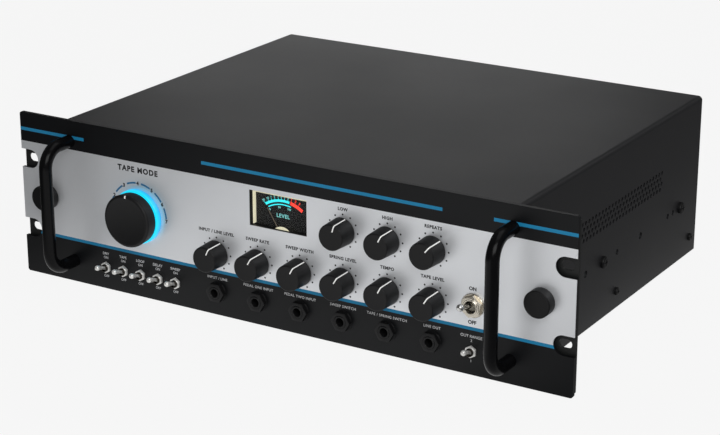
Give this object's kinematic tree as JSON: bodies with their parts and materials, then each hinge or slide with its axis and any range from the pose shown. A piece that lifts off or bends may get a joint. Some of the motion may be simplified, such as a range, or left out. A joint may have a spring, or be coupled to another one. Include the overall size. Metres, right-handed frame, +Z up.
{
  "type": "rack-mounted tape echo unit",
  "caption": "Rack-width tape echo: drawer with knobs, jacks, toggles, level meter and handles in a sheet-steel sleeve, with a belt-driven tape deck inside.",
  "frame": {"origin": "centre of the four rack slots, on the rear face of the ears, where they land on the rails", "axes": "+X to the right along the front, +Y to the back, +Z up"},
  "size_m": [0.4826, 0.353, 0.1324],
  "materials": {
    "case_paint": "fine satin powder coat",
    "ear_paint": "satin powder coat",
    "panel_print": "satin silver with black and blue print",
    "screw_black": "black oxide",
    "slide_steel": "zinc plated",
    "tray_steel": "zinc plated sheet",
    "handle_black": "satin black",
    "knob_black": "satin with a white line",
    "thumb_black": "satin black",
    "ring_light": "translucent, lit",
    "meter_black": "moulded",
    "dial_print": "black with lit scales",
    "window_clear": "clear",
    "cap_ivory": "ivory",
    "needle_dark": "matt",
    "jack_black": "moulded",
    "chrome": "polished",
    "switch_body": "moulded",
    "pot_metal": "plain",
    "board_green": "solder mask",
    "deck_paint": "satin grey",
    "bearing_metal": "turned",
    "motor_metal": "drawn can",
    "belt_rubber": "matt",
    "head_metal": "polished",
    "tank_plastic": "folded sheet",
    "tape_brown": "smooth",
    "cover_clear": "clear acrylic",
    "coil_wrap": "wrapped film",
    "flywheel_metal": "turned",
    "steel_plain": "plain",
    "roller_rubber": "ground"
  },
  "bodies": {
    "sleeve": {"case_wrap": "case_paint", "case_chassis": "case_paint", "ear_left": "ear_paint", "ear_right": "ear_paint", "case_screws": "screw_black", "slide_outer_members": "slide_steel"},
    "left_slide": {"slide_middle_left": "slide_steel"},
    "right_slide": {"slide_middle_right": "slide_steel"},
    "drawer": {"slide_inner_members": "slide_steel", "front_panel": "panel_print", "drawer_tray": "tray_steel", "handle_left": "handle_black", "handle_right": "handle_black", "handle_screws": "screw_black", "light_ring": "ring_light", "mode_switch": "switch_body", "potentiometers": "pot_metal", "circuit_boards": "board_green", "meter_housing": "meter_black", "meter_dial": "dial_print", "meter_window": "window_clear", "meter_movement": "cap_ivory", "jack_sockets": "jack_black", "toggle_bodies": "switch_body", "toggle_nuts": "chrome", "deck_plate": "deck_paint", "deck_bearings": "bearing_metal", "motor": "motor_metal", "drive_belt": "belt_rubber", "tape_heads": "head_metal", "tape_tank": "tank_plastic", "tape_loop": "tape_brown", "tape_cover": "cover_clear", "power_transformer": "coil_wrap", "reverb_tank": "steel_plain", "mains_inlet": "jack_black"},
    "knob_low_1": {"knob_low_1": "knob_black"},
    "knob_low_2": {"knob_low_2": "knob_black"},
    "knob_low_3": {"knob_low_3": "knob_black"},
    "knob_low_4": {"knob_low_4": "knob_black"},
    "knob_low_5": {"knob_low_5": "knob_black"},
    "knob_low_6": {"knob_low_6": "knob_black"},
    "knob_high_1": {"knob_high_1": "knob_black"},
    "knob_high_2": {"knob_high_2": "knob_black"},
    "knob_high_3": {"knob_high_3": "knob_black"},
    "mode_knob": {"mode_knob": "knob_black"},
    "toggle_lever_1": {"toggle_lever_1": "chrome"},
    "toggle_lever_2": {"toggle_lever_2": "chrome"},
    "toggle_lever_3": {"toggle_lever_3": "chrome"},
    "toggle_lever_4": {"toggle_lever_4": "chrome"},
    "toggle_lever_5": {"toggle_lever_5": "chrome"},
    "level_lever": {"level_lever": "chrome"},
    "power_lever": {"power_lever": "chrome"},
    "thumb_screw_left": {"thumb_screw_left": "thumb_black"},
    "thumb_screw_right": {"thumb_screw_right": "thumb_black"},
    "meter_needle": {"meter_needle": "needle_dark"},
    "flywheel": {"flywheel": "flywheel_metal"},
    "motor_pulley": {"motor_pulley": "bearing_metal"},
    "pinch_arm": {"pinch_arm": "steel_plain"},
    "pinch_roller": {"pinch_roller": "roller_rubber"}
  },
  "joints": [
    {"name": "drawer_slide", "type": "slide", "parent": "sleeve", "child": "drawer", "axis": [0, -1, 0], "range_m": [0, 0.25]},
    {"name": "left_slide_run", "type": "slide", "parent": "sleeve", "child": "left_slide", "axis": [0, -1, 0], "range_m": [0, 0.125]},
    {"name": "right_slide_run", "type": "slide", "parent": "sleeve", "child": "right_slide", "axis": [0, -1, 0], "range_m": [0, 0.125]},
    {"name": "knob_low_1_turn", "type": "hinge", "parent": "drawer", "child": "knob_low_1", "pos_m": [-0.0553, -0.0062, -0.01665], "axis": [0, 1, 0], "range_deg": [-177, 123]},
    {"name": "knob_low_2_turn", "type": "hinge", "parent": "drawer", "child": "knob_low_2", "pos_m": [-0.0182, -0.0062, -0.01665], "axis": [0, 1, 0], "range_deg": [-181, 119]},
    {"name": "knob_low_3_turn", "type": "hinge", "parent": "drawer", "child": "knob_low_3", "pos_m": [0.0189, -0.0062, -0.01665], "axis": [0, 1, 0], "range_deg": [-180, 120]},
    {"name": "knob_low_4_turn", "type": "hinge", "parent": "drawer", "child": "knob_low_4", "pos_m": [0.056, -0.0062, -0.01665], "axis": [0, 1, 0], "range_deg": [-182, 118]},
    {"name": "knob_low_5_turn", "type": "hinge", "parent": "drawer", "child": "knob_low_5", "pos_m": [0.0931, -0.0062, -0.01665], "axis": [0, 1, 0], "range_deg": [-178, 122]},
    {"name": "knob_low_6_turn", "type": "hinge", "parent": "drawer", "child": "knob_low_6", "pos_m": [0.1302, -0.0062, -0.01665], "axis": [0, 1, 0], "range_deg": [-183, 117]},
    {"name": "knob_high_1_turn", "type": "hinge", "parent": "drawer", "child": "knob_high_1", "pos_m": [0.056, -0.0062, 0.02175], "axis": [0, 1, 0], "range_deg": [-169, 131]},
    {"name": "knob_high_2_turn", "type": "hinge", "parent": "drawer", "child": "knob_high_2", "pos_m": [0.0931, -0.0062, 0.02175], "axis": [0, 1, 0], "range_deg": [-179, 121]},
    {"name": "knob_high_3_turn", "type": "hinge", "parent": "drawer", "child": "knob_high_3", "pos_m": [0.1302, -0.0062, 0.02175], "axis": [0, 1, 0], "range_deg": [-190, 110]},
    {"name": "mode_knob_turn", "type": "hinge", "parent": "drawer", "child": "mode_knob", "pos_m": [-0.1277, -0.0062, 0.00015], "axis": [0, 1, 0], "range_deg": [-90, 90]},
    {"name": "toggle_lever_1_tilt", "type": "hinge", "parent": "drawer", "child": "toggle_lever_1", "pos_m": [-0.1614, -0.0077, -0.0484], "axis": [1, 0, 0], "range_deg": [0, 32]},
    {"name": "toggle_lever_2_tilt", "type": "hinge", "parent": "drawer", "child": "toggle_lever_2", "pos_m": [-0.1447, -0.0077, -0.0484], "axis": [1, 0, 0], "range_deg": [0, 32]},
    {"name": "toggle_lever_3_tilt", "type": "hinge", "parent": "drawer", "child": "toggle_lever_3", "pos_m": [-0.128, -0.0077, -0.0484], "axis": [1, 0, 0], "range_deg": [0, 32]},
    {"name": "toggle_lever_4_tilt", "type": "hinge", "parent": "drawer", "child": "toggle_lever_4", "pos_m": [-0.1113, -0.0077, -0.0484], "axis": [1, 0, 0], "range_deg": [0, 32]},
    {"name": "toggle_lever_5_tilt", "type": "hinge", "parent": "drawer", "child": "toggle_lever_5", "pos_m": [-0.0946, -0.0077, -0.0484], "axis": [1, 0, 0], "range_deg": [0, 32]},
    {"name": "level_lever_tilt", "type": "hinge", "parent": "drawer", "child": "level_lever", "pos_m": [0.1619, -0.0077, -0.0484], "axis": [1, 0, 0], "range_deg": [0, 32]},
    {"name": "power_lever_tilt", "type": "hinge", "parent": "drawer", "child": "power_lever", "pos_m": [0.1627, -0.0068, -0.01355], "axis": [1, 0, 0], "range_deg": [0, 28.6]},
    {"name": "thumb_screw_left_turn", "type": "hinge", "parent": "drawer", "child": "thumb_screw_left", "pos_m": [-0.216, -0.0062, 0.0008], "axis": [0, 1, 0], "continuous": true},
    {"name": "thumb_screw_right_turn", "type": "hinge", "parent": "drawer", "child": "thumb_screw_right", "pos_m": [0.216, -0.0062, 0.0008], "axis": [0, 1, 0], "continuous": true},
    {"name": "meter_needle_swing", "type": "hinge", "parent": "drawer", "child": "meter_needle", "pos_m": [0.0003, 0.0014, 0.00375], "axis": [0, 1, 0], "range_deg": [0, 67], "stiffness_Nm_per_rad": 0.0002},
    {"name": "flywheel_spin", "type": "hinge", "parent": "drawer", "child": "flywheel", "pos_m": [0.145, 0.08657, -0.0113], "axis": [0, 0, 1], "continuous": true},
    {"name": "motor_pulley_spin", "type": "hinge", "parent": "drawer", "child": "motor_pulley", "pos_m": [0.055, 0.08657, -0.0113], "axis": [0, 0, 1], "continuous": true},
    {"name": "pinch_arm_swing", "type": "hinge", "parent": "drawer", "child": "pinch_arm", "pos_m": [0.12, 0.118, 0.01], "axis": [0, 0, 1], "range_deg": [-12, 0]},
    {"name": "pinch_roller_spin", "type": "hinge", "parent": "pinch_arm", "child": "pinch_roller", "pos_m": [0.14811, 0.10601, 0.016], "axis": [0, 0, 1], "continuous": true}
  ],
  "couplings": [
    {"joint": "left_slide_run", "follows": "drawer_slide", "ratio": 0.5},
    {"joint": "right_slide_run", "follows": "drawer_slide", "ratio": 0.5},
    {"joint": "motor_pulley_spin", "follows": "flywheel_spin", "ratio": 4.3333}
  ]
}
